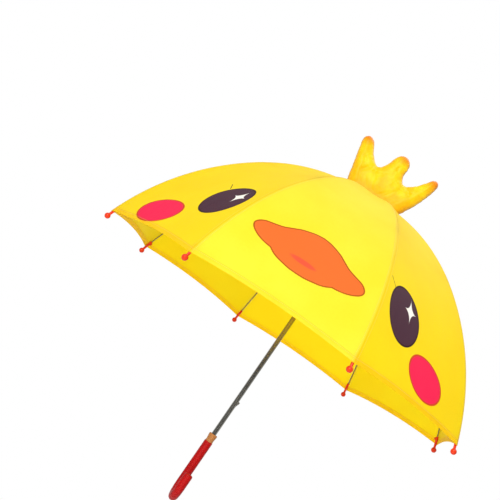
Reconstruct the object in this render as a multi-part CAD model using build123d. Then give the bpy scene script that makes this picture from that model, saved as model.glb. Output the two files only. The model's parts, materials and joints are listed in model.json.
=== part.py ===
"""Children's stick umbrella: a domed canopy of 8 gores on 8 hinged ribs, a stuffed crown, a sliding
runner with 8 stretchers, a steel shaft with two spring catches, and a J-shaped handle.

Millimetres, +Z up along the shaft, origin on the shaft axis at the lowest point of the handle.
-Y is the front, where the handle's hook points, a little to the right. Rib 1 is front left, and the others follow
anticlockwise seen from above; gore k lies between rib k and rib k + 1.
"""
from build123d import *
from math import asin, atan2, cos, degrees, hypot, radians, sin
import os

# --- Driving dimensions ---
RIBS = 8
STEP = 360 / RIBS
HALF = STEP / 2
FIRST_RIB = -90 - HALF          # azimuth of rib 1
APEX_Z = 590.0                  # top of the canopy cloth

# The seam line over each rib is two tangent arcs. A slope is degrees below the horizontal.
SLOPE_TOP = 1.0
SLOPE_BRACKET = 37.0
SLOPE_RIM = 72.3
ARC_INNER = 205.0
ARC_OUTER = 270.0
RADIUS_INNER = ARC_INNER / radians(SLOPE_BRACKET - SLOPE_TOP)
RADIUS_OUTER = ARC_OUTER / radians(SLOPE_RIM - SLOPE_BRACKET)

CLOTH = 0.6
SEAM_GAP = 0.2                  # from a gore's edge to the seam's plane
SPLIT_GAP = 0.3                 # between a gore's inner and outer panel
GORE_START = 12.0               # arc length where the cloth begins
HEM_BACK = 8.0                  # arc length from the hem to the tip ball's centre

RIB_R = 1.0
RIB_DEPTH = 3.6                 # rib centreline below the seam line
EYE_R = 1.9
EYE_HALF = 1.1                  # half thickness of every eye
PIN_R = 0.6
HOLE_R = 0.75
CHEEK_IN = 1.55
CHEEK_OUT = 2.35
DROP = 5.0                      # stretcher pin below the rib's flex pin
BLOCK_LENGTH = 13.0
BLOCK_GAP = 3.2

PIVOT_R = 9.0                   # radius of the notch's and the runner's hinge wires
WIRE_R = 0.6
WIRE_GROOVE = 0.65

SHAFT_R = 4.0
BORE_R = 3.3
SHAFT_FOOT_Z = 60.0
SHAFT_TOP_Z = APEX_Z - 1.0
FIT = 0.05                      # gap of a press fit
SLIDE = 0.15                    # gap of a sliding fit

NOTCH_R = 12.5
NOTCH_TOP_Z = APEX_Z - 1.6
NOTCH_HEIGHT = 12.0
SLOT_IN_R = 5.6
SLOT_HALF = 1.55
CAP_R = 15.0
CAP_HEIGHT = 3.4
STUD_LENGTH = 18.0

RUNNER_ABOVE = 5.0              # runner above its hinge wire
RUNNER_FLOOR = 3.2              # slot floor below the wire
RUNNER_CROWN = 6.5              # crown part below the wire
RUNNER_LENGTH = 50.0            # sleeve's foot below the wire
SLEEVE_R = 6.6
FLANGE_R = 9.5
FLANGE_HEIGHT = 3.0
SPINE_R = 8.2
SPINE_HALF = 2.2
GROOVE_R = 6.8
GROOVE_HALF = 1.0

TOOTH_HALF = 0.75
TOOTH_REACH = 6.4
TOOTH_HEIGHT = 9.0
SPRING_LENGTH = 34.0
TOP_TOOTH_Z = 391.0
BOTTOM_TOOTH_Z = 176.0

COLLAR_Z = 106.0
COLLAR_TOP_Z = 120.0
COLLAR_FOOT_R = 6.6
COLLAR_TOP_R = 7.3
GRIP_R = 7.2
BEND_R = 22.0
HOOK_TOP_Z = 51.0
HOOK_TURN = 11.5                # hook's direction, from the front towards +X
END_FILLET = 3.0

BALL_R = 4.7
SLEEVE_TIP_R = 2.1
SLEEVE_TIP_LENGTH = 24.0
SOCKET_DEPTH = 5.0              # rib's end short of the tip ball's centre

# Crown's outline from its left foot to its right foot, as (x, height above the apex)
CROWN_LEFT = [(-57.0, -8.0), (-72.5, 60.0)]
CROWN_PRONGS = [
    (-72.5, 60.0), (-74.5, 76.0), (-68.0, 85.0), (-56.0, 80.5), (-44.0, 61.0), (-29.0, 49.0),
    (-19.0, 58.0), (-10.0, 81.0), (4.0, 87.5), (16.0, 77.0), (17.5, 56.0), (27.0, 45.5),
    (44.0, 56.5), (61.0, 78.0), (72.5, 76.0), (71.0, 58.0),
]
CROWN_RIGHT = [(71.0, 58.0), (45.0, -8.0)]
CROWN_HALF_DEPTH = 12.0
CROWN_GAP = 0.6

ON_BASE = (Align.CENTER, Align.CENTER, Align.MIN)

os.makedirs("parts", exist_ok=True)
nodes = {}


# --- The seam line and the frame's points, as (radius, height) in a rib's own plane ---
def arc_centre(slope):
    """Centre of the arc that the slope lies on."""
    inner = (-RADIUS_INNER * sin(radians(SLOPE_TOP)), APEX_Z - RADIUS_INNER * cos(radians(SLOPE_TOP)))
    if slope <= SLOPE_BRACKET:
        return inner
    back = RADIUS_OUTER - RADIUS_INNER
    angle = radians(SLOPE_BRACKET)
    return (inner[0] - back * sin(angle), inner[1] - back * cos(angle))


def on_seam(slope, depth=0.0):
    """Point of the seam line, or of a line that runs depth below it."""
    x, z = arc_centre(slope)
    radius = (RADIUS_INNER if slope <= SLOPE_BRACKET else RADIUS_OUTER) - depth
    return (x + radius * sin(radians(slope)), z + radius * cos(radians(slope)))


def slope_at(length):
    """Slope of the seam line at an arc length from the apex."""
    if length <= ARC_INNER:
        return SLOPE_TOP + degrees(length / RADIUS_INNER)
    return SLOPE_BRACKET + degrees((length - ARC_INNER) / RADIUS_OUTER)


TOTAL = ARC_INNER + ARC_OUTER
inner_centre = arc_centre(SLOPE_TOP)
PIVOT_SLOPE = degrees(asin((PIVOT_R - inner_centre[0]) / (RADIUS_INNER - RIB_DEPTH)))
NOTCH_PIVOT = on_seam(PIVOT_SLOPE, RIB_DEPTH)
FLEX_PIVOT = on_seam(SLOPE_BRACKET, RIB_DEPTH)
STRETCHER_PIVOT = on_seam(SLOPE_BRACKET, RIB_DEPTH + DROP)
LINK = hypot(STRETCHER_PIVOT[0] - NOTCH_PIVOT[0], STRETCHER_PIVOT[1] - NOTCH_PIVOT[1])
OPEN_ANGLE = degrees(atan2(NOTCH_PIVOT[1] - STRETCHER_PIVOT[1], STRETCHER_PIVOT[0] - PIVOT_R))
RUNNER_PIVOT = (PIVOT_R, NOTCH_PIVOT[1] - 2 * LINK * sin(radians(OPEN_ANGLE)))
TIP = on_seam(SLOPE_RIM, RIB_DEPTH)


# --- Helpers ---
def rib_piece(slope_a, slope_b, radius, depth=RIB_DEPTH):
    """Round bar that follows one of the arcs, in the XZ plane."""
    x, z = on_seam(slope_a, depth)
    cx, cz = arc_centre(slope_b)
    tangent = (cos(radians(slope_a)), 0, -sin(radians(slope_a)))
    section = Plane(origin=(x, 0, z), z_dir=tangent) * Circle(radius)
    return revolve(section, Axis((cx, 0, cz), (0, 1, 0)), slope_b - slope_a)


def disc(point, radius, half):
    """Disc or pin with its axis along Y at a (radius, height) point."""
    return Pos(point[0], 0, point[1]) * Rot(90, 0, 0) * Cylinder(radius, 2 * half)


def bar(a, b, radius):
    """Straight round bar between two points of the XZ plane."""
    direction = (b[0] - a[0], 0, b[1] - a[1])
    plane = Plane(origin=(a[0], 0, a[1]), z_dir=direction)
    return plane * Cylinder(radius, hypot(direction[0], direction[2]), align=ON_BASE)


def ring(z, major, minor):
    return Pos(0, 0, z) * Torus(major, minor)


def tube(low, high, outer, inner):
    solid = Cylinder(outer, high - low, align=ON_BASE) - Cylinder(inner, high - low, align=ON_BASE)
    return Pos(0, 0, low) * solid


def block(x, y, z):
    """Box from three (low, high) pairs."""
    size = (x[1] - x[0], y[1] - y[0], z[1] - z[0])
    return Pos((x[0] + x[1]) / 2, (y[0] + y[1]) / 2, (z[0] + z[1]) / 2) * Box(*size)


def around(shape, azimuth):
    return Rot(0, 0, azimuth) * shape


def add(name, *solids):
    """Keep a node's solids under its name."""
    nodes[name] = [s for shape in solids for s in shape.solids()]


# --- Frame: ribs, brackets, stretchers, tips ---
def at_flex(shape):
    """Place a shape drawn in the bracket's own XZ plane: X along the rib, Z out through the cloth."""
    return Pos(FLEX_PIVOT[0], 0, FLEX_PIVOT[1]) * Rot(0, SLOPE_BRACKET, 0) * shape


def bracket():
    """Folded steel bracket: a block on the rib and two cheeks that hold both pins."""
    flex, pin = (0, 0), (0, -DROP)
    cheek = 2.0
    body = block((-BLOCK_LENGTH, 0), (-CHEEK_OUT, CHEEK_OUT), (-cheek, RIB_R + 0.5))
    body += disc(flex, cheek, CHEEK_OUT)
    body += disc(pin, cheek + 0.3, CHEEK_OUT)
    body += block((-cheek, cheek), (-CHEEK_OUT, CHEEK_OUT), (-DROP, 0))
    body -= block((-BLOCK_GAP, 9), (-CHEEK_IN, CHEEK_IN), (-12, 6))
    for point in (flex, pin):
        body -= disc(point, PIN_R, 2 * CHEEK_OUT)
    return at_flex(body)


def rivet(height):
    """Pin through both cheeks, with a head on each side."""
    solid = disc((0, height), PIN_R, CHEEK_OUT + 0.5)
    for side in (-1, 1):
        head = Pos(0, side * (CHEEK_OUT + 0.25), height) * Rot(90, 0, 0) * Cylinder(1.1, 0.5)
        solid += head
    return at_flex(solid)


def rib_inner():
    """Inner half of a rib, from the notch to the bracket."""
    end = SLOPE_BRACKET - degrees((BLOCK_GAP + 0.2) / RADIUS_INNER)
    wire = rib_piece(PIVOT_SLOPE, end, RIB_R)
    wire += disc(NOTCH_PIVOT, EYE_R + 0.2, EYE_HALF)
    wire -= disc(NOTCH_PIVOT, HOLE_R, 2 * EYE_HALF)
    return [wire, bracket() - rib_piece(PIVOT_SLOPE, end, RIB_R), rivet(0), rivet(-DROP)]


def rib_outer():
    """Outer half of a rib, from the bracket to the tip."""
    end = slope_at(TOTAL - SOCKET_DEPTH)
    wire = rib_piece(SLOPE_BRACKET, end, RIB_R)
    wire += disc(FLEX_PIVOT, EYE_R, EYE_HALF)
    wire -= disc(FLEX_PIVOT, HOLE_R, 2 * EYE_HALF)
    return [wire]


def stretcher():
    """Stretcher from the bracket to the runner."""
    rod = bar(STRETCHER_PIVOT, RUNNER_PIVOT, RIB_R)
    for point in (STRETCHER_PIVOT, RUNNER_PIVOT):
        rod += disc(point, EYE_R + 0.1, EYE_HALF)
    for point in (STRETCHER_PIVOT, RUNNER_PIVOT):
        rod -= disc(point, HOLE_R, 2 * EYE_HALF)
    return [rod]


def tip():
    """Moulded tip: a ball, a sleeve on the rib's end and a lug that the cloth is sewn to."""
    start = slope_at(TOTAL - SLEEVE_TIP_LENGTH)
    solid = rib_piece(start, SLOPE_RIM, SLEEVE_TIP_R)
    solid += Pos(TIP[0], 0, TIP[1]) * Sphere(BALL_R)
    lug_slope = slope_at(TOTAL - SLEEVE_TIP_LENGTH + 4)
    x, z = on_seam(lug_slope, RIB_DEPTH + SLEEVE_TIP_R + 1.0)
    lug = block((-2.2, 2.2), (-0.7, 0.7), (-1.6, 1.6)) - disc((0, -0.2), 0.6, 2)
    solid += Pos(x, 0, z) * Rot(0, lug_slope, 0) * lug
    solid -= rib_piece(start - 1, slope_at(TOTAL - SOCKET_DEPTH), RIB_R)
    return [solid]


# --- Canopy ---
def gore_panel(start, end):
    """Part of a gore between two slopes: a bent sheet with straight lines across, cut along its seams."""
    squeeze = cos(radians(HALF))
    count = 7
    slopes = [start + (end - start) * i / (count - 1) for i in range(count)]
    outer, inner = [], []
    for slope in slopes:
        r, z = on_seam(slope)
        nx, nz = sin(radians(slope)), squeeze * cos(radians(slope))
        size = hypot(nx, nz)
        outer.append((r * squeeze, 0, z))
        inner.append((r * squeeze - CLOTH * nx / size, 0, z - CLOTH * nz / size))
    edges = Spline(*outer) + Line(outer[-1], inner[-1]) + Spline(*inner[::-1]) + Line(inner[0], outer[0])
    reach = 200
    sheet = extrude(make_face(edges), amount=reach, dir=(0, 1, 0), both=True)
    near = SEAM_GAP / sin(radians(HALF))
    far = 420
    width = (far - near) * sin(radians(HALF)) / cos(radians(HALF))
    wedge = make_face(Polyline((near, 0), (far, width), (far, -width), close=True))
    return sheet & (Pos(0, 0, APEX_Z - 400) * extrude(wedge, amount=500))


# --- Crown ---
def crown():
    """Stuffed three-pronged crown that straddles the apex, seen from the front as a flat shape."""
    sides = Line(*CROWN_LEFT) + Line(*CROWN_RIGHT) + Line(CROWN_RIGHT[1], CROWN_LEFT[0])
    shape = make_face(sides + Spline(*CROWN_PRONGS))
    solid = extrude(Plane.XZ * shape, amount=CROWN_HALF_DEPTH, both=True)
    solid -= Pos(0, 0, inner_centre[1] - APEX_Z) * Sphere(RADIUS_INNER + CROWN_GAP)
    solid -= Cylinder(CAP_R + CROWN_GAP, 2 * (CAP_HEIGHT + CROWN_GAP))
    return Pos(0, 0, APEX_Z) * solid


# --- Hub pieces ---
def slots(low, high):
    """Eight radial slots, one at each rib."""
    cut = None
    for k in range(RIBS):
        one = block((SLOT_IN_R, 30), (-SLOT_HALF, SLOT_HALF), (low, high))
        one = around(one, FIRST_RIB + k * STEP)
        cut = one if cut is None else cut + one
    return cut


def top_notch():
    low = NOTCH_TOP_Z - NOTCH_HEIGHT
    solid = tube(low, NOTCH_TOP_Z, NOTCH_R, SHAFT_R + FIT)
    solid -= slots(low - 1, NOTCH_TOP_Z + 1)
    return solid - ring(NOTCH_PIVOT[1], PIVOT_R, WIRE_GROOVE)


def cap():
    """Cap on the shaft's end that holds the cloth down on the notch."""
    under = APEX_Z + 0.1
    top = APEX_Z + CAP_HEIGHT
    rise = CAP_HEIGHT - 1.3
    ball = (CAP_R ** 2 + rise ** 2) / (2 * rise)
    disc_part = Pos(0, 0, under) * Cylinder(CAP_R, top - under, align=ON_BASE)
    dome = disc_part & (Pos(0, 0, top - ball) * Sphere(ball))
    neck = Pos(0, 0, SHAFT_TOP_Z) * Cylinder(SHAFT_R + 1, under - SHAFT_TOP_Z, align=ON_BASE)
    stud = Pos(0, 0, SHAFT_TOP_Z - STUD_LENGTH) * Cylinder(BORE_R - FIT, STUD_LENGTH, align=ON_BASE)
    return dome + neck + stud


def runner():
    """Runner: a slotted crown that holds the stretchers, a sleeve to push and a foot flange."""
    z = RUNNER_PIVOT[1]
    foot = z - RUNNER_LENGTH
    bore = SHAFT_R + SLIDE
    solid = tube(z - RUNNER_CROWN, z + RUNNER_ABOVE, NOTCH_R, bore)
    solid -= slots(z - RUNNER_FLOOR, z + RUNNER_ABOVE + 1)
    solid += tube(foot, z - RUNNER_CROWN, SLEEVE_R, bore)
    solid += tube(foot, foot + FLANGE_HEIGHT, FLANGE_R, bore)
    solid += block((bore + 0.5, SPINE_R), (-SPINE_HALF, SPINE_HALF), (foot, z - RUNNER_CROWN))
    solid -= block((0, GROOVE_R), (-GROOVE_HALF, GROOVE_HALF), (foot - 1, z + RUNNER_ABOVE + 1))
    return solid - ring(z, PIVOT_R, WIRE_GROOVE)


def shaft():
    solid = tube(SHAFT_FOOT_Z, SHAFT_TOP_Z, SHAFT_R, BORE_R)
    for z in (TOP_TOOTH_Z, BOTTOM_TOOTH_Z):
        solid -= block((0, SHAFT_R + 1), (-TOOTH_HALF - 0.2, TOOTH_HALF + 0.2), (z - 1, z + TOOTH_HEIGHT + 1))
    return solid


def spring_catch(z):
    """Flat spring inside the shaft with a tooth that stands out through a slot on the +X side."""
    leaf_x = 1.4
    tooth = Plane.XZ * make_face(
        Polyline(
            (leaf_x, z), (SHAFT_R, z), (TOOTH_REACH, z + TOOTH_HEIGHT - 2.5),
            (TOOTH_REACH, z + TOOTH_HEIGHT), (leaf_x, z + TOOTH_HEIGHT), close=True,
        )
    )
    solid = extrude(tooth, amount=TOOTH_HALF, both=True)
    middle = z + TOOTH_HEIGHT / 2
    half = SPRING_LENGTH / 2
    return solid + block((leaf_x, leaf_x + 0.7), (-1.6, 1.6), (middle - half, middle + half))


# --- Handle ---
def handle():
    """J-shaped handle whose hook turns up in front of the grip."""
    bend_z = BEND_R + GRIP_R
    section = Plane(origin=(0, 0, COLLAR_Z), z_dir=(0, 0, -1)) * Circle(GRIP_R)
    grip = extrude(section, amount=COLLAR_Z - bend_z)
    lower = Plane(origin=(0, 0, bend_z), z_dir=(0, 0, -1)) * Circle(GRIP_R)
    grip += revolve(lower, Axis((0, -BEND_R, bend_z), (1, 0, 0)), -180)
    upper = Plane(origin=(0, -2 * BEND_R, bend_z), z_dir=(0, 0, 1)) * Circle(GRIP_R)
    grip += extrude(upper, amount=HOOK_TOP_Z - bend_z)
    end = [e for e in grip.edges() if e.center().Z > HOOK_TOP_Z - 0.01 and e.center().Y < -BEND_R]
    grip = fillet(end, END_FILLET)
    grip -= Pos(0, 0, SHAFT_FOOT_Z) * Cylinder(SHAFT_R + FIT, COLLAR_Z, align=ON_BASE)
    return around(grip, HOOK_TURN)


def collar():
    """Flared ring between the handle and the shaft."""
    profile = make_face(
        Polyline(
            (SHAFT_R + FIT, COLLAR_Z), (COLLAR_FOOT_R, COLLAR_Z), (COLLAR_FOOT_R - 0.4, COLLAR_Z + 3),
            (COLLAR_TOP_R, COLLAR_TOP_Z - 1.5), (COLLAR_TOP_R - 0.6, COLLAR_TOP_Z),
            (SHAFT_R + FIT, COLLAR_TOP_Z), close=True,
        )
    )
    return revolve(Plane.XZ * profile, Axis.Z)


# --- Assembly ---
for k in range(RIBS):
    azimuth = FIRST_RIB + k * STEP
    number = k + 1
    add(f"rib_inner_{number}", *[around(s, azimuth) for s in rib_inner()])
    add(f"rib_outer_{number}", *[around(s, azimuth) for s in rib_outer()])
    add(f"stretcher_{number}", *[around(s, azimuth) for s in stretcher()])
    add(f"tip_{number}", *[around(s, azimuth) for s in tip()])
    split = degrees(SPLIT_GAP / 2 / RADIUS_INNER)
    inner = gore_panel(slope_at(GORE_START), SLOPE_BRACKET - split)
    outer = gore_panel(SLOPE_BRACKET + split, slope_at(TOTAL - HEM_BACK))
    add(f"gore_inner_{number}", around(inner, azimuth + HALF))
    add(f"gore_outer_{number}", around(outer, azimuth + HALF))

add("shaft_tube", shaft())
add("top_notch", top_notch())
add("notch_wire", ring(NOTCH_PIVOT[1], PIVOT_R, WIRE_R))
add("ferrule_cap", cap())
add("crown", crown())
add("top_spring", spring_catch(TOP_TOOTH_Z))
add("bottom_spring", spring_catch(BOTTOM_TOOTH_Z))
add("runner", runner())
add("runner_wire", ring(RUNNER_PIVOT[1], PIVOT_R, WIRE_R))
add("handle", handle())
add("handle_collar", collar())

for name, solids in nodes.items():
    export_step(solids[0] if len(solids) == 1 else Compound(solids), f"parts/{name}.step")
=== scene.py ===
"""Looks of the children's umbrella: printed cloth gores, a stuffed crown and the finish of every part."""
import bpy
import json
import math
import numpy as np
from mathutils import Matrix, Vector
from mathutils.geometry import delaunay_2d_cdt


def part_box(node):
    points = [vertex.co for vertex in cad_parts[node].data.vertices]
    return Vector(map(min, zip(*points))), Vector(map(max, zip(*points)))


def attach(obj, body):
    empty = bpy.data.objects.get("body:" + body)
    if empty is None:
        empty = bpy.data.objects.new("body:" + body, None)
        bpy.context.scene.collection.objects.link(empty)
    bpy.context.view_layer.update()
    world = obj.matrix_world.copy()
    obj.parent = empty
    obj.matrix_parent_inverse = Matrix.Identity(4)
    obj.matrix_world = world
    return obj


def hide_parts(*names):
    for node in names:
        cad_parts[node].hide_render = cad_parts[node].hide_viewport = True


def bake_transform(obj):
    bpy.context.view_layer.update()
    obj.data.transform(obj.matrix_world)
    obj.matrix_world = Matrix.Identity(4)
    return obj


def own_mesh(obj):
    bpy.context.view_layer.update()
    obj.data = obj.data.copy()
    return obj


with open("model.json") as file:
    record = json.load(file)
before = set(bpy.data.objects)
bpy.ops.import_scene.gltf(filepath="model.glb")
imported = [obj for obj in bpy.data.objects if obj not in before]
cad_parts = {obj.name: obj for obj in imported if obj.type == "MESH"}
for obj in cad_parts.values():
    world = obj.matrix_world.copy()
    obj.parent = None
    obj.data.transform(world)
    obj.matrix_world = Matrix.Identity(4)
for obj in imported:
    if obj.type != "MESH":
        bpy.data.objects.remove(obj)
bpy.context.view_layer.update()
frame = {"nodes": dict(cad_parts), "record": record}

# --- The canopy's cut, in metres. The seam over each rib is two tangent arcs. ---
RIBS = 8
STEP = math.tau / RIBS
HALF = STEP / 2
FIRST_RIB = -math.pi / 2 - HALF
APEX_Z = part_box("shaft_tube")[1].z + 0.001
SLOPE_TOP, SLOPE_SPLIT, SLOPE_RIM = (math.radians(a) for a in (1.0, 37.0, 72.3))
ARC_INNER = 0.205
ARC_TOTAL = 0.475
RADIUS_INNER = ARC_INNER / (SLOPE_SPLIT - SLOPE_TOP)
RADIUS_OUTER = (ARC_TOTAL - ARC_INNER) / (SLOPE_RIM - SLOPE_SPLIT)
CLOTH_START = 0.011         # arc length of the cloth's hole round the shaft
CLOTH_END = 0.4655          # arc length of the hem at a rib
HEM_RISE = 0.0065           # how much higher the hem is halfway between ribs
HEM_FOLD = 0.008
SAG = 0.0035                # how far a gore's middle is drawn in
LAP = 0.007                 # outer cloth tucked behind the inner cloth at the split
LAP_LOSS = 0.8              # share of the lap that is missing at the ribs
LAP_DEPTH = 0.0006          # how far the lap lies below the inner cloth
LAP_ROWS = (1.0, 0.6, 0.2)  # rows of the lap, as shares of its length
HEM_ROWS = 5
HEM_DEPTH = 0.0008          # how far the turned-in hem lies below the outer cloth
HEM_ROUND = 0.0003          # rounding of the hem's fold
SEAM_WIDTH = 0.0016         # groove where two gores meet
SEAM_DEPTH = 0.0006
FINE_CELL, PLAIN_CELL = 0.0026, 0.0045  # mesh cells of the printed and the plain gores
FRONT, LEFT, RIGHT = 1, 8, 2  # gores that carry the printed face
UV_WIDTH, UV_LENGTH = 0.30, 0.50  # metres that the UV map "cloth" spans


def seam(arc):
    """(radius, height, slope) on the seam line at one or more arc lengths from the apex."""
    arc = np.asarray(arc, float)
    first = arc <= ARC_INNER
    slope = np.where(first, SLOPE_TOP + arc / RADIUS_INNER, SLOPE_SPLIT + (arc - ARC_INNER) / RADIUS_OUTER)
    back = RADIUS_OUTER - RADIUS_INNER
    cx = -RADIUS_INNER * math.sin(SLOPE_TOP) - np.where(first, 0, back * math.sin(SLOPE_SPLIT))
    cz = APEX_Z - RADIUS_INNER * math.cos(SLOPE_TOP) - np.where(first, 0, back * math.cos(SLOPE_SPLIT))
    radius = np.where(first, RADIUS_INNER, RADIUS_OUTER)
    return cx + radius * np.sin(slope), cz + radius * np.cos(slope), slope


# --- Small helpers ---
def linear(code):
    """Linear colour of an sRGB hex code."""
    parts = [int(code[i:i + 2], 16) / 255 for i in (0, 2, 4)]
    return tuple(c / 12.92 if c <= 0.04045 else ((c + 0.055) / 1.055) ** 2.4 for c in parts) + (1.0,)


def mesh_object(name, points, faces, smooth=True):
    mesh = bpy.data.meshes.new(name)
    mesh.from_pydata([tuple(p) for p in points], [], [tuple(f) for f in faces])
    mesh.update()
    if smooth:
        mesh.polygons.foreach_set("use_smooth", [True] * len(mesh.polygons))
    piece = bpy.data.objects.new(name, mesh)
    bpy.context.scene.collection.objects.link(piece)
    return piece


def store(piece, name, values):
    """Keep one number for each vertex."""
    attribute = piece.data.attributes.new(name, "FLOAT", "POINT")
    attribute.data.foreach_set("value", np.asarray(values, np.float32))


def store_uv(piece, corners):
    """Set the UV map "cloth" from one (u, v) for each vertex."""
    loops = np.zeros(len(piece.data.loops), int)
    piece.data.loops.foreach_get("vertex_index", loops)
    layer = piece.data.uv_layers.new(name="cloth")
    layer.data.foreach_set("uv", corners[loops].astype(np.float32).ravel())


def distance_to_outline(points, outline):
    """Signed distance from 2-D points to a closed outline: negative inside."""
    a = outline
    b = np.roll(outline, -1, axis=0)
    best = np.full(len(points), np.inf)
    inside = np.zeros(len(points), bool)
    for p, q in zip(a, b):
        edge = q - p
        t = np.clip(((points - p) @ edge) / max(edge @ edge, 1e-18), 0, 1)
        best = np.minimum(best, np.linalg.norm(points - p - t[:, None] * edge, axis=1))
        crosses = (p[1] > points[:, 1]) != (q[1] > points[:, 1])
        rise = np.where(abs(q[1] - p[1]) < 1e-15, 1e-15, q[1] - p[1])
        inside ^= crosses & (points[:, 0] < p[0] + (points[:, 1] - p[1]) * edge[0] / rise)
    return np.where(inside, -best, best)


# --- The printed face, in (across, arc length) on a gore, in metres ---
BILL_UPPER = [  # right half, from the middle of the top to the notch under the corner
    (0.0, 0.3205), (0.012, 0.3225), (0.024, 0.3270), (0.033, 0.3315), (0.043, 0.3385), (0.054, 0.3458),
    (0.067, 0.3510), (0.079, 0.3555), (0.0865, 0.3620), (0.089, 0.3690), (0.0855, 0.3760),
    (0.077, 0.3820), (0.067, 0.3860), (0.057, 0.3882), (0.050, 0.3888),
]
BILL_LOWER = [  # right half, from the notch to the middle of the bottom
    (0.050, 0.3888), (0.043, 0.3935), (0.035, 0.3970), (0.024, 0.3996), (0.012, 0.4017), (0.0, 0.4022),
]
MOUTH = {"centre": (-0.002, 0.380), "half": (0.0215, 0.0046)}
EYE_HALF = (0.0370, 0.0437)
FACE = {
    LEFT: {
        "eye": (0.0535, 0.3530), "eye_tilt": 11.0,
        "cheek": (-0.0295, 0.4255), "cheek_half": (0.0450, 0.0280), "cheek_tilt": -17.0,
        "lash": ((0.0050, 0.3130), (0.0200, 0.3265)),
    },
    RIGHT: {
        "eye": (-0.0555, 0.3525), "eye_tilt": -11.0,
        "cheek": (0.0180, 0.4158), "cheek_half": (0.0425, 0.0275), "cheek_tilt": 15.0,
        "lash": ((-0.0955, 0.3083), (-0.0845, 0.3216)),
    },
}
STAR_FROM_EYE = (0.0130, -0.0145)
STAR_HALF = (0.0140, 0.0200)
STAR_POWER = 0.55           # of |x| and |y|: below 1 the star's sides curve in
INK = 0.0022                # width of a printed outline
INK_SOFT = 0.00025          # blur of a printed edge
LASH_WIDTH = 0.0012
SPLINE_STEPS = 6            # steps to a span of the bill's outline

# --- Threads and weave, in metres ---
STITCH_PITCH = 0.0026
THREAD_WIDTH = (0.0007, 0.0003)  # from half faded to full, off the row's middle
SEAM_ROW = 0.0032           # from the seam to its row of stitches
HEM_ROW = HEM_FOLD - 0.0015
WEAVE_PITCH = 0.0009
WEAVE_HEIGHT = 0.0001
THROUGH = 0.46              # share of light let through the cloth


def smooth_line(points, count):
    """Catmull-Rom curve through points, count steps to a span."""
    p = np.array([2 * np.array(points[0]) - points[1], *points, 2 * np.array(points[-1]) - points[-2]], float)
    t = np.linspace(0, 1, count, endpoint=False)[:, None]
    spans = []
    for a, b, c, d in zip(p[:-3], p[1:-2], p[2:-1], p[3:]):
        spans.append(0.5 * (2 * b + (c - a) * t + (2 * a - 5 * b + 4 * c - d) * t ** 2
                            + (3 * b - a - 3 * c + d) * t ** 3))
    return np.concatenate([*spans, p[-2:-1]])


def bill_outline():
    """The bill: a hump above, a shallower one below and a round corner at each side."""
    half = np.concatenate([smooth_line(BILL_UPPER, SPLINE_STEPS), smooth_line(BILL_LOWER, SPLINE_STEPS)[1:]])
    return np.concatenate([half, half[::-1][1:-1] * [-1, 1]])


# --- Node helpers ---
class Nodes:
    """Short spellings for building a material."""

    def __init__(self, name):
        self.material = bpy.data.materials.new(name)
        self.material.use_nodes = True
        self.tree = self.material.node_tree
        self.shader = self.tree.nodes["Principled BSDF"]

    def node(self, kind, **settings):
        made = self.tree.nodes.new("ShaderNode" + kind)
        for key, value in settings.items():
            setattr(made, key, value)
        return made

    def link(self, source, target):
        self.tree.links.new(source, target)

    def put(self, socket, value):
        if isinstance(value, bpy.types.NodeSocket):
            self.link(value, socket)
        else:
            socket.default_value = value

    def math(self, operation, a, b=0.0, c=0.0):
        made = self.node("Math", operation=operation)
        for socket, value in zip(made.inputs, (a, b, c)):
            self.put(socket, value)
        return made.outputs[0]

    def ramp(self, value, low, high, out_low=0.0, out_high=1.0):
        made = self.node("MapRange", interpolation_type="SMOOTHSTEP")
        for socket, item in zip(made.inputs, (value, low, high, out_low, out_high)):
            self.put(socket, item)
        return made.outputs[0]

    def mix(self, factor, a, b):
        made = self.node("Mix", data_type="RGBA")
        self.put(made.inputs[0], factor)
        self.put(made.inputs[6], a)
        self.put(made.inputs[7], b)
        return made.outputs[2]

    def attribute(self, name):
        return self.node("Attribute", attribute_name=name).outputs["Fac"]

    def noise(self, vector, scale, detail=3.0, roughness=0.5):
        made = self.node("TexNoise")
        self.put(made.inputs["Vector"], vector)
        self.put(made.inputs["Scale"], scale)
        self.put(made.inputs["Detail"], detail)
        self.put(made.inputs["Roughness"], roughness)
        return made.outputs["Fac"]

    def mapping(self, vector, location=(0, 0, 0), rotation=0.0, scale=(1, 1, 1), kind="POINT"):
        made = self.node("Mapping", vector_type=kind)
        self.put(made.inputs["Vector"], vector)
        made.inputs["Location"].default_value = location
        made.inputs["Rotation"].default_value = (0, 0, rotation)
        made.inputs["Scale"].default_value = scale
        return made.outputs[0]

    def bump(self, height, distance, strength=1.0, under=None):
        made = self.node("Bump")
        self.put(made.inputs["Strength"], strength)
        self.put(made.inputs["Distance"], distance)
        self.put(made.inputs["Height"], height)
        if under is not None:
            self.link(under, made.inputs["Normal"])
        return made.outputs[0]

    def set(self, **values):
        names = {"color": "Base Color", "rough": "Roughness", "metal": "Metallic", "normal": "Normal",
                 "coat": "Coat Weight", "coat_rough": "Coat Roughness", "sheen": "Sheen Weight",
                 "sheen_rough": "Sheen Roughness", "specular": "Specular IOR Level"}
        for key, value in values.items():
            self.put(self.shader.inputs[names[key]], value)


def flat_cloth_place(m):
    """Vector of metres across and along a gore, from the UV map."""
    uv = m.node("UVMap", uv_map="cloth").outputs[0]
    return m.mapping(uv, location=(-0.5 * UV_WIDTH, 0, 0), scale=(UV_WIDTH, UV_LENGTH, 1))


def weave_height(m, place, pitch):
    """Height of a plain weave from two crossed sine waves."""
    parts = m.node("SeparateXYZ")
    m.link(place, parts.inputs[0])
    waves = [m.math("SINE", m.math("MULTIPLY", parts.outputs[i], math.tau / pitch)) for i in (0, 1)]
    return m.math("MULTIPLY", waves[0], waves[1])


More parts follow.
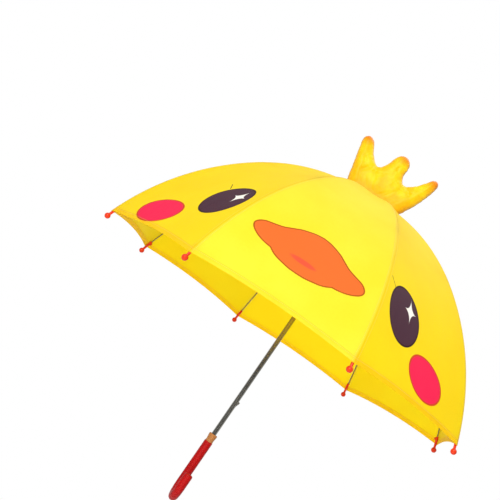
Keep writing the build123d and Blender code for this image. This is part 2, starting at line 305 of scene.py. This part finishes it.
def translucent(m, color, share):
    """Let some light through the cloth."""
    through = m.node("BsdfTranslucent")
    m.put(through.inputs[0], color)
    mix = m.node("MixShader")
    mix.inputs[0].default_value = share
    m.link(m.shader.outputs[0], mix.inputs[1])
    m.link(through.outputs[0], mix.inputs[2])
    m.link(mix.outputs[0], m.tree.nodes["Material Output"].inputs[0])


def ellipse_distance(m, place, centre, half, tilt):
    """About the distance in metres outside a tilted ellipse."""
    unit = m.mapping(place, (*centre, 0), math.radians(tilt), (half[0], half[1], 1), "TEXTURE")
    length = m.node("VectorMath", operation="LENGTH")
    m.link(unit, length.inputs[0])
    return m.math("MULTIPLY", m.math("SUBTRACT", length.outputs["Value"], 1.0), min(half))


def ink(m, under, distance, fill, edge):
    """A printed shape with a thin outline over the colour under it."""
    filled = m.mix(m.ramp(distance, INK_SOFT, -INK_SOFT), under, fill)
    line = m.ramp(m.math("ABSOLUTE", distance), INK * 0.5 + INK_SOFT, INK * 0.5 - INK_SOFT)
    return m.mix(line, filled, edge)


def stroke(m, place, start, end, width):
    """1 on a straight printed line, 0 off it."""
    middle = ((start[0] + end[0]) / 2, (start[1] + end[1]) / 2, 0)
    along = m.mapping(place, middle, math.atan2(end[1] - start[1], end[0] - start[0]), (1, 1, 1), "TEXTURE")
    parts = m.node("SeparateXYZ")
    m.link(along, parts.inputs[0])
    half = math.dist(start, end) / 2
    near = m.ramp(m.math("ABSOLUTE", parts.outputs[1]), width * 0.7, width * 0.3)
    ends = m.ramp(m.math("ABSOLUTE", parts.outputs[0]), half + 0.0003, half - 0.0003)
    return m.math("MULTIPLY", near, ends)


def face_print(m, place, color, look):
    """One side of the face: an eye with its star, a cheek and a lash, over a colour."""
    far = ellipse_distance(m, place, look["eye"], EYE_HALF, look["eye_tilt"])
    color = ink(m, color, far, linear("4b2c3e"), linear("33161a"))
    middle = (look["eye"][0] + STAR_FROM_EYE[0], look["eye"][1] + STAR_FROM_EYE[1], 0)
    star = m.mapping(place, middle, 0.0, (*STAR_HALF, 1), "TEXTURE")
    parts = m.node("SeparateXYZ")
    m.link(star, parts.inputs[0])
    powers = [m.math("POWER", m.math("ABSOLUTE", parts.outputs[i]), STAR_POWER) for i in (0, 1)]
    color = m.mix(m.ramp(m.math("ADD", *powers), 1.04, 0.98), color, linear("ffffff"))
    far = ellipse_distance(m, place, look["cheek"], look["cheek_half"], look["cheek_tilt"])
    color = ink(m, color, far, linear("fd2459"), linear("d8461f"))
    return m.mix(stroke(m, place, *look["lash"], LASH_WIDTH), color, linear("35200f"))


def stitches(m, place, edge, hem):
    """1 on the thread of the seam's and hem's rows of stitches, 0 off it."""
    parts = m.node("SeparateXYZ")
    m.link(place, parts.inputs[0])
    rows = []
    for distance, row, along in ((edge, SEAM_ROW, 1), (hem, HEM_ROW, 0)):
        wave = m.math("SINE", m.math("MULTIPLY", parts.outputs[along], math.tau / STITCH_PITCH))
        line = m.ramp(m.math("ABSOLUTE", m.math("SUBTRACT", distance, row)), *THREAD_WIDTH)
        rows.append(m.math("MULTIPLY", line, m.ramp(wave, -0.35, 0.1)))
    return m.math("MAXIMUM", *rows)


def canopy_material(face):
    """Yellow polyester with its seams, hem and stitches, and the print of one gore of the face, if any."""
    m = Nodes(f"canopy_{face or 'plain'}")
    place = flat_cloth_place(m)
    edge, hem = m.attribute("edge"), m.attribute("hem")
    patch = m.noise(place, 9.0, 4.0)
    fine = m.noise(place, 260.0, 2.0)
    # painted light: the front gore, which faces the key light, gets a paler yellow than the other gores of
    # the same cloth
    pale, deep = ("ffe838", "ffe12a") if face == FRONT else ("ffe410", "ffde0a")
    color = m.mix(m.ramp(patch, 0.3, 0.7), linear(deep), linear(pale))
    color = m.mix(m.ramp(fine, 0.2, 0.9, 0.0, 0.10), color, linear("f4c406"))
    if face == FRONT:
        color = ink(m, color, m.attribute("bill"), linear("fb6f2e"), linear("a8560f"))
        mouth = ellipse_distance(m, place, MOUTH["centre"], MOUTH["half"], 0.0)
        color = m.mix(m.ramp(mouth, 0.0006, -0.0012), color, linear("f4563c"))
    elif face:
        color = face_print(m, place, color, FACE[face])
    # the darker line where two gores meet, then the stitches and the doubled cloth of the hem
    seam_line = m.ramp(edge, SEAM_WIDTH, 0.0004)
    color = m.mix(m.math("MULTIPLY", seam_line, 0.30), color, linear("d8a808"))
    thread = stitches(m, place, edge, hem)
    color = m.mix(m.math("MULTIPLY", thread, 0.5), color, linear("fff08a"))
    fold = m.ramp(hem, HEM_FOLD + 0.0004, HEM_FOLD - 0.0004)
    color = m.mix(m.math("MULTIPLY", fold, 0.06), color, linear("e8ac06"))
    m.set(color=color, rough=0.5, sheen=0.03, sheen_rough=0.5, specular=0.16)
    creases = m.noise(m.mapping(place, scale=(9.0, 2.2, 1)), 5.0, 3.0, 0.55)
    normal = m.bump(weave_height(m, place, WEAVE_PITCH), WEAVE_HEIGHT, 0.30)
    normal = m.bump(creases, 0.0022, 0.35, normal)
    stitch = m.math("ADD", thread, m.math("MULTIPLY", fold, 0.6))
    normal = m.bump(stitch, 0.0005, 0.8, normal)
    m.set(normal=normal)
    translucent(m, color, THROUGH)
    return m.material


# --- Canopy ---
def gore_surface(q, arc, depth):
    """Points of a gore in its own frame, X out along its middle. q is -1 to 1 between its seams."""
    r, z, slope = seam(arc)
    mid = r * math.cos(HALF)
    nx, nz = np.sin(slope), math.cos(HALF) * np.cos(slope)
    size = np.hypot(nx, nz)
    inward = depth + SAG * (1 - q ** 2) * np.sin(np.pi * np.clip(arc / ARC_TOTAL, 0, 1)) ** 0.8
    near_seam = np.clip(1 - (1 - abs(q)) * r * math.sin(HALF) / SEAM_WIDTH, 0, 1)
    inward = inward + SEAM_DEPTH * near_seam ** 2
    across = q * r * math.sin(HALF)
    return np.stack([mid - inward * nx / size, across, z - inward * nz / size], -1)


def gore_grid(columns, start, end, rows, outer):
    """(q, arc, depth, hem distance) of every point, row by row from the top."""
    q = np.linspace(-1, 1, columns)
    hem = CLOTH_END - HEM_RISE * (1 - q ** 2)
    last = hem if outer else np.full(columns, end)
    arcs, depths = [], []
    if outer:
        reach = LAP * (1 - LAP_LOSS * q ** 4)
        arcs += [start - reach * back for back in LAP_ROWS]
        depths += [LAP_DEPTH] * len(LAP_ROWS)
    arcs += [start + (last - start) * share for share in np.linspace(0, 1, rows)]
    depths += [0.0] * rows
    if outer:
        arcs += [last + HEM_ROUND] + [last - HEM_FOLD * back for back in np.linspace(0, 1, HEM_ROWS)]
        depths += [HEM_ROUND] + [HEM_DEPTH] * HEM_ROWS
    arc = np.stack(arcs)
    depth = np.repeat(np.array(depths)[:, None], columns, axis=1)
    return np.tile(q, (len(arcs), 1)), arc, depth, np.abs(hem - arc)


def turned(points, angle):
    """Points turned about the shaft's axis."""
    c, s = math.cos(angle), math.sin(angle)
    return np.stack([points[..., 0] * c - points[..., 1] * s, points[..., 0] * s + points[..., 1] * c,
                     points[..., 2]], -1)


def gore_piece(number, part, material, cell):
    """The inner or outer part of a gore, as a sheet between its two ribs."""
    outer = part == "outer"
    start, end = (ARC_INNER, CLOTH_END) if outer else (CLOTH_START, ARC_INNER)
    width = 2 * float(seam(end)[0]) * math.sin(HALF)
    columns = 2 * round(width / cell / 2) + 1
    rows = round((end - start) / cell) + 1
    q, arc, depth, hem = gore_grid(columns, start, end, rows, outer)
    points = turned(gore_surface(q, arc, depth), FIRST_RIB + (number - 0.5) * STEP).reshape(-1, 3)
    lines = q.shape[0]
    index = np.arange(lines * columns).reshape(lines, columns)
    faces = np.stack([index[:-1, :-1], index[1:, :-1], index[1:, 1:], index[:-1, 1:]], -1).reshape(-1, 4)
    piece = mesh_object(f"cloth_{part}_{number}", points, faces)
    across = (q * seam(arc)[0] * math.sin(HALF)).ravel()
    flat = np.stack([across, arc.ravel()], 1)
    store_uv(piece, flat / [UV_WIDTH, UV_LENGTH] + [0.5, 0])
    store(piece, "edge", ((1 - abs(q)) * seam(arc)[0] * math.sin(HALF)).ravel())
    store(piece, "hem", hem.ravel())
    if number == FRONT:
        store(piece, "bill", distance_to_outline(flat, bill_outline()))
    if outer:
        crease = piece.data.attributes.new("sharp_edge", "BOOLEAN", "EDGE")
        split = len(LAP_ROWS) * columns
        top = set(range(split, split + columns))
        crease.data.foreach_set("value", [set(edge.vertices) <= top for edge in piece.data.edges])
    piece.data.materials.append(material)
    rib, follower = f"rib_{part}_{number}", f"gore_{part}_{number}"
    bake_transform(piece)
    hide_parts(follower)


def canopy():
    looks = {face: canopy_material(face) for face in (None, FRONT, LEFT, RIGHT)}
    for number in range(1, RIBS + 1):
        fine = number in (FRONT, LEFT, RIGHT)
        for part in ("inner", "outer"):
            gore_piece(number, part, looks[number if fine else None], FINE_CELL if fine else PLAIN_CELL)


# --- Crown ---
CROWN_POINTS = [  # outline from the left foot round the three prongs, as (x, height above the apex)
    (-0.0570, -0.006), (-0.0615, 0.012), (-0.0660, 0.033), (-0.0725, 0.060), (-0.0750, 0.076),
    (-0.0680, 0.0850), (-0.0560, 0.0805), (-0.0440, 0.061), (-0.0290, 0.049), (-0.0190, 0.058),
    (-0.0100, 0.081),
    (0.0040, 0.0875), (0.0160, 0.077), (0.0175, 0.056), (0.0270, 0.0455), (0.0440, 0.0565),
    (0.0610, 0.078), (0.0725, 0.076), (0.0710, 0.058), (0.0610, 0.028), (0.0460, -0.006),
]
CROWN_FOOT = CROWN_POINTS[0][1]
CROWN_HALF_DEPTH = 0.0135
CROWN_ROUND = 0.0155        # how far in from the rim the stuffing reaches its full depth
CROWN_CELL = 0.0026
CROWN_STEPS = 10            # steps to a span of the outline
CROWN_RISE = 0.0072         # lifts the foot from the dome's top to the cap's
CROWN_UV = 0.16
PRONG_TIPS = [(-0.066, 0.084), (0.007, 0.087), (0.070, 0.078)]
TIP_REACH = 0.028           # how far the tips' orange reaches down
STUFFING_FRAMES = 24
SWELL_LIMIT = 0.007         # furthest that the simulation may move a point
CREASES = [  # start and direction of each fold pressed into the crown
    ((-0.029, 0.050), (0.010, -0.040)), ((-0.031, 0.049), (-0.020, -0.030)),
    ((0.027, 0.047), (-0.004, -0.040)), ((0.030, 0.047), (0.022, -0.026)),
    ((-0.060, 0.052), (0.022, -0.012)), ((0.004, 0.070), (-0.001, -0.030)),
]
CREASE_DEPTH = 0.0021
CREASE_HALF = 0.0032
GATHER_DEPTH = 0.0007
GATHER_PITCH = 0.0085


def evenly(line, step):
    """The line again with points step apart."""
    along = np.r_[0, np.cumsum(np.linalg.norm(np.diff(line, axis=0), axis=1))]
    at = np.linspace(0, along[-1], round(along[-1] / step) + 1)
    return np.stack([np.interp(at, along, line[:, k]) for k in range(2)], 1)


def crown_flat():
    """The crown's outline filled with triangles: (points, triangles, each point's distance from the rim)."""
    rim = evenly(smooth_line(CROWN_POINTS, CROWN_STEPS), CROWN_CELL)
    foot_x = np.linspace(rim[-1, 0], rim[0, 0], round((rim[-1, 0] - rim[0, 0]) / CROWN_CELL) + 1)[1:-1]
    foot = np.stack([foot_x, np.full(len(foot_x), CROWN_FOOT)], 1)
    outline = np.concatenate([rim, foot])
    xs = np.arange(-0.082, 0.082, CROWN_CELL)
    zs = np.arange(CROWN_FOOT, 0.092, CROWN_CELL * 0.87)
    grid = np.array([(x + (CROWN_CELL / 2 if j % 2 else 0), z) for j, z in enumerate(zs) for x in xs])
    inner = grid[distance_to_outline(grid, outline) < -0.55 * CROWN_CELL]
    loop = [(i, (i + 1) % len(outline)) for i in range(len(outline))]
    points = [Vector(p) for p in np.concatenate([outline, inner])]
    verts, _, faces, *_ = delaunay_2d_cdt(points, loop, [], 1, 1e-6)
    verts = np.array([tuple(v) for v in verts])
    # the open foot is not a rim: the outline that distances are taken from runs on below it
    below = CROWN_FOOT - 0.044
    longer = np.concatenate([rim, [[rim[-1, 0], below], [rim[0, 0], below]]])
    return verts, faces, np.clip(-distance_to_outline(verts, longer), 0, None)


def crown_mesh():
    """Closed pillow over the crown's outline, as (points, faces)."""
    verts, faces, inside = crown_flat()
    puff = CROWN_HALF_DEPTH * np.sqrt(1 - (1 - np.clip(inside / CROWN_ROUND, 0, 1)) ** 2)
    count = len(verts)
    front = np.stack([verts[:, 0], -puff, verts[:, 1]], 1)
    back = np.stack([verts[:, 0], puff, verts[:, 1]], 1)
    is_rim = inside < 1e-6
    other = np.arange(count) + count
    other[is_rim] = np.arange(count)[is_rim]
    points = np.concatenate([front, back])
    tris = [tuple(f) for f in faces] + [tuple(int(other[i]) for i in reversed(f)) for f in faces]
    low = [i for i in range(count) if abs(verts[i, 1] - CROWN_FOOT) < 1e-7]
    low.sort(key=lambda i: verts[i, 0])
    for a, b in zip(low, low[1:]):
        ring = [a, b, int(other[b]), int(other[a])]
        ring = [v for k, v in enumerate(ring) if v not in ring[:k]]
        tris.append(tuple(ring))
    used = sorted({i for f in tris for i in f})
    place = {old: new for new, old in enumerate(used)}
    return points[used], [tuple(place[i] for i in f) for f in tris]


def stuff(piece):
    """Fill the crown: a short cloth simulation under pressure, with its foot held."""
    group = piece.vertex_groups.new(name="held")
    held = [v.index for v in piece.data.vertices if v.co.z < 0.001]
    group.add(held, 1.0, "REPLACE")
    cloth = piece.modifiers.new("cloth", "CLOTH")
    settings = cloth.settings
    settings.quality = 6
    settings.mass = 0.05
    settings.tension_stiffness = settings.compression_stiffness = 12
    settings.shear_stiffness = 8
    settings.bending_stiffness = 0.08
    settings.use_pressure = True
    settings.uniform_pressure_force = 5.0
    settings.vertex_group_mass = "held"
    settings.shrink_min = -0.035
    settings.effector_weights.gravity = 0
    cloth.collision_settings.use_collision = False
    cloth.point_cache.frame_start, cloth.point_cache.frame_end = 1, STUFFING_FRAMES
    scene = bpy.context.scene
    before = np.array([v.co for v in piece.data.vertices])
    for step in range(1, STUFFING_FRAMES + 1):
        scene.frame_set(step)
    shown = piece.evaluated_get(bpy.context.evaluated_depsgraph_get())
    after = np.array([v.co for v in shown.data.vertices])
    piece.modifiers.remove(cloth)
    piece.vertex_groups.remove(group)
    scene.frame_set(1)
    move = after - before
    size = np.linalg.norm(move, axis=1, keepdims=True)
    move *= np.minimum(1, SWELL_LIMIT / np.maximum(size, 1e-9))
    piece.data.vertices.foreach_set("co", (before + move).astype(np.float32).ravel())
    piece.data.update()


def pucker(co):
    """Gather the cloth along the seam of the rim, and crease it at CREASES."""
    rim = smooth_line(CROWN_POINTS, CROWN_STEPS)
    along = np.r_[0, np.cumsum(np.linalg.norm(np.diff(rim, axis=0), axis=1))]
    flat = co[:, [0, 2]]
    gap = np.linalg.norm(flat[:, None] - rim[None], axis=2)
    near = gap.argmin(1)
    away, place = gap[np.arange(len(co)), near], along[near]
    wave = np.sin(place * math.tau / GATHER_PITCH + 1.3 * np.sin(place * 60))
    gather = GATHER_DEPTH * wave * np.exp(-away / 0.006) * np.clip(away / 0.002, 0, 1)
    crease = np.zeros(len(co))
    for (x, z), (dx, dz) in CREASES:
        reach = np.hypot(dx, dz)
        forward = ((flat[:, 0] - x) * dx + (flat[:, 1] - z) * dz) / reach
        aside = ((flat[:, 0] - x) * dz - (flat[:, 1] - z) * dx) / reach
        fade = np.clip(forward / 0.006, 0, 1) * np.clip((reach - forward) / 0.016, 0, 1)
        crease += CREASE_DEPTH * fade * np.exp(-(aside / CREASE_HALF) ** 2)
    side = np.sign(co[:, 1]) * np.clip(abs(co[:, 1]) / 0.003, 0, 1)
    co = co.copy()
    co[:, 1] += side * (gather - crease)
    return co


def crown_material():
    """Stuffed polyester with painted shade, darker orange towards its foot and darker round its seamed rim,
    and orange at the prongs' tips.
    """
    m = Nodes("crown_cloth")
    place = m.node("UVMap", uv_map="cloth").outputs[0]
    rim, tip = m.attribute("rim"), m.attribute("tip")
    patch = m.noise(place, 6.0, 4.0)
    color = m.mix(m.ramp(patch, 0.3, 0.75), linear("f5b608"), linear("ffd316"))
    # painted shade: darker orange towards the foot, where the crown meets the dome
    color = m.mix(m.ramp(m.attribute("foot"), 0.026, 0.0, 0.0, 0.5), color, linear("ef9a02"))
    color = m.mix(m.ramp(tip, 0.25, 1.0, 0.0, 0.9), color, linear("e2700a"))
    # the seam line round the rim, darkened further as painted shade where the pillow turns away from the
    # light
    color = m.mix(m.ramp(rim, 0.0030, 0.0012, 0.0, 0.75), color, linear("8a6408"))
    m.set(color=color, rough=0.45, sheen=0.03, sheen_rough=0.45, specular=0.2)
    folds = m.noise(m.mapping(place, scale=(1.0, 0.5, 1)), 16.0, 5.0, 0.6)
    normal = m.bump(weave_height(m, place, 0.006), 0.00008, 0.3)
    m.set(normal=m.bump(folds, 0.004, 0.45, normal))
    return m.material


def crown():
    points, faces = crown_mesh()
    piece = mesh_object("crown_stuffed", points, faces)
    stuff(piece)
    co = pucker(np.array([v.co for v in piece.data.vertices]))
    # the foot follows the dome, and sits on the cap
    dome = RADIUS_INNER - np.sqrt(np.clip(RADIUS_INNER ** 2 - co[:, 0] ** 2 - co[:, 1] ** 2, 0, None))
    share = np.clip(1 - (co[:, 2] - CROWN_FOOT) / 0.05, 0, 1)
    co[:, 2] += share * (CROWN_RISE - dome)
    co[:, 2] += APEX_Z
    piece.data.vertices.foreach_set("co", co.astype(np.float32).ravel())
    flat = co[:, [0, 2]] - [0, APEX_Z]
    store(piece, "rim", abs(co[:, 1]))
    store(piece, "foot", np.clip(flat[:, 1] + dome, 0, None))
    from_tip = np.min([np.linalg.norm(flat - p, axis=1) for p in PRONG_TIPS], axis=0)
    store(piece, "tip", np.clip(1 - from_tip / TIP_REACH, 0, 1))
    store_uv(piece, flat / CROWN_UV + [0.5, 0.1])
    piece.data.materials.append(crown_material())
    smooth = piece.modifiers.new("smooth", "SUBSURF")
    smooth.levels = smooth.render_levels = 1
    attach(piece, "root")
    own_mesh(piece)
    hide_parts("crown")


# --- Finishes of the frame ---
def plastic(name, color, rough, coat, grain):
    """Moulded plastic with faint flow marks."""
    m = Nodes(name)
    place = m.node("TexCoord").outputs["Object"]
    marks = m.noise(place, 60.0, 4.0)
    tone = m.mix(m.ramp(marks, 0.35, 0.7, 0.0, 0.25), linear(color), linear(grain))
    m.set(color=tone, rough=m.ramp(marks, 0.2, 0.8, rough, rough + 0.10), specular=0.25)
    m.set(coat=coat, coat_rough=0.08)
    m.set(normal=m.bump(m.noise(place, 900.0, 2.0), 0.0002, 0.12))
    return m.material


def metal(name, color, rough, lengthwise, grain):
    """Drawn metal with fine lines along Z and small spots of wear."""
    m = Nodes(name)
    place = m.node("TexCoord").outputs["Object"]
    lines = m.noise(m.mapping(place, scale=(1, 1, lengthwise)), 900.0, 3.0)
    wear = m.noise(place, 45.0, 5.0, 0.65)
    tone = m.mix(m.ramp(wear, 0.55, 0.75, 0.0, 0.5), linear(color), linear(grain))
    m.set(color=tone, metal=1.0, rough=m.ramp(lines, 0.2, 0.8, rough, rough + 0.12))
    m.set(normal=m.bump(lines, 0.0002, 0.10))
    return m.material


def finish_frame():
    looks = {
        "rib_wire": metal("rib_plate", "807868", 0.30, 1.0, "4b4438"),
        "tip_plastic": plastic("tip_red", "d4340f", 0.36, 0.10, "b92a0a"),
        "shaft_steel": metal("shaft_plate", "a8a69e", 0.18, 0.02, "7c7a70"),
        "hub_plastic": plastic("hub_black", "1a1a1b", 0.38, 0.1, "2b2b2c"),
        "hinge_wire": metal("hinge_wire_steel", "8e8c88", 0.3, 1.0, "6f6c66"),
        "spring_steel": metal("spring_strip", "a3a19c", 0.3, 0.05, "7d7a74"),
        "handle_plastic": plastic("handle_red", "a20101", 0.42, 0.0, "8e0101"),
        "collar_plastic": plastic("collar_tan", "a8703e", 0.45, 0.05, "9a6434"),
    }
    slots = {s["node"]: s["material_slot"] for s in frame["record"]["subparts"]}
    for name, node in frame["nodes"].items():
        look = looks.get(slots[name])
        if look is not None:
            node.data.materials.clear()
            node.data.materials.append(look)


# --- Camera, light and floor ---
FLOOR_R = 1.9
FLOOR_Z = -0.75
FLOOR_SIDES = 96
LIT_FRONT, LIT_BACK = 0.16, 0.85  # strength of the light from in front of and behind the umbrella


def camera():
    """Close to the shaft's height, looking slightly up, rolled so that the shaft leans to the right."""
    aim = Vector((0, 0, 0.39))
    distance, lens, sensor = 1.5102, 65.96, 36.0
    lift, around, roll, pan, tilt = -0.1142, 0.1084, 0.6038, 0.0361, 0.0276
    back = Vector((math.sin(around) * math.cos(lift), -math.cos(around) * math.cos(lift), math.sin(lift)))
    side = Vector((0, 0, 1)).cross(back).normalized()
    level = Matrix((side, back.cross(side), back)).transposed()
    turn = Matrix.Rotation(roll, 3, "Z") @ Matrix.Rotation(pan, 3, "Y") @ Matrix.Rotation(tilt, 3, "X")
    data = bpy.data.cameras.new("camera")
    data.lens, data.sensor_width = lens, sensor
    data.shift_x, data.shift_y = -0.05, 0.044
    data.clip_start = 0.05
    cam = bpy.data.objects.new("camera", data)
    bpy.context.scene.collection.objects.link(cam)
    cam.matrix_world = Matrix.Translation(aim + back * distance) @ (level @ turn).to_4x4()
    bpy.context.scene.camera = cam


def area_light(name, place, aim, size, power, mirrored=True):
    data = bpy.data.lights.new(name, "AREA")
    data.energy, data.size = power, size
    light = bpy.data.objects.new(name, data)
    bpy.context.scene.collection.objects.link(light)
    light.location = place
    light.visible_glossy = mirrored
    light.rotation_euler = (Vector(aim) - Vector(place)).to_track_quat("-Z", "Y").to_euler()


def studio():
    scene = bpy.context.scene
    scene.view_settings.view_transform = "Standard"
    world = bpy.data.worlds.new("studio")
    scene.world = world
    world.use_nodes = True
    tree = world.node_tree
    # white behind everything; what lights the umbrella is dim in front and bright behind, as in a studio
    # with a lit backdrop
    seen = tree.nodes.new("ShaderNodeLightPath")
    direction = tree.nodes.new("ShaderNodeTexCoord")
    parts = tree.nodes.new("ShaderNodeSeparateXYZ")
    tree.links.new(direction.outputs["Generated"], parts.inputs[0])
    backdrop = tree.nodes.new("ShaderNodeMapRange")
    tree.links.new(parts.outputs["Y"], backdrop.inputs["Value"])
    spread = {"From Min": -0.6, "From Max": 0.9, "To Min": LIT_FRONT, "To Max": LIT_BACK}
    for name, value in spread.items():
        backdrop.inputs[name].default_value = value
    strength = tree.nodes.new("ShaderNodeMix")
    tree.links.new(seen.outputs["Is Camera Ray"], strength.inputs[0])
    tree.links.new(backdrop.outputs[0], strength.inputs[2])
    strength.inputs[3].default_value = 1.0
    background = tree.nodes["Background"]
    background.inputs[0].default_value = (1, 1, 1, 1)
    tree.links.new(strength.outputs[0], background.inputs[1])
    area_light("key", (-0.4, -2.3, 1.5), (0, 0, 0.42), 1.4, 56)
    area_light("low_fill", (0.2, -1.9, -0.2), (0, 0.15, 0.42), 1.4, 26, mirrored=False)
    area_light("top", (0.3, 0.6, 2.4), (0, 0, 0.45), 1.6, 22)
    angles = np.linspace(0, math.tau, FLOOR_SIDES, endpoint=False)
    rim = [(FLOOR_R * math.cos(a), FLOOR_R * math.sin(a), 0) for a in angles]
    floor = mesh_object("floor", rim, [range(FLOOR_SIDES)], smooth=False)
    floor.location.z = FLOOR_Z
    m = Nodes("floor_pale")
    place = m.node("TexCoord").outputs["Object"]
    m.set(color=m.mix(m.noise(place, 3.0, 3.0), (0.90, 0.90, 0.90, 1), (0.94, 0.94, 0.94, 1)), rough=0.8)
    floor.data.materials.append(m.material)


camera()
studio()
canopy()
crown()
finish_frame()
bpy.context.view_layer.update()
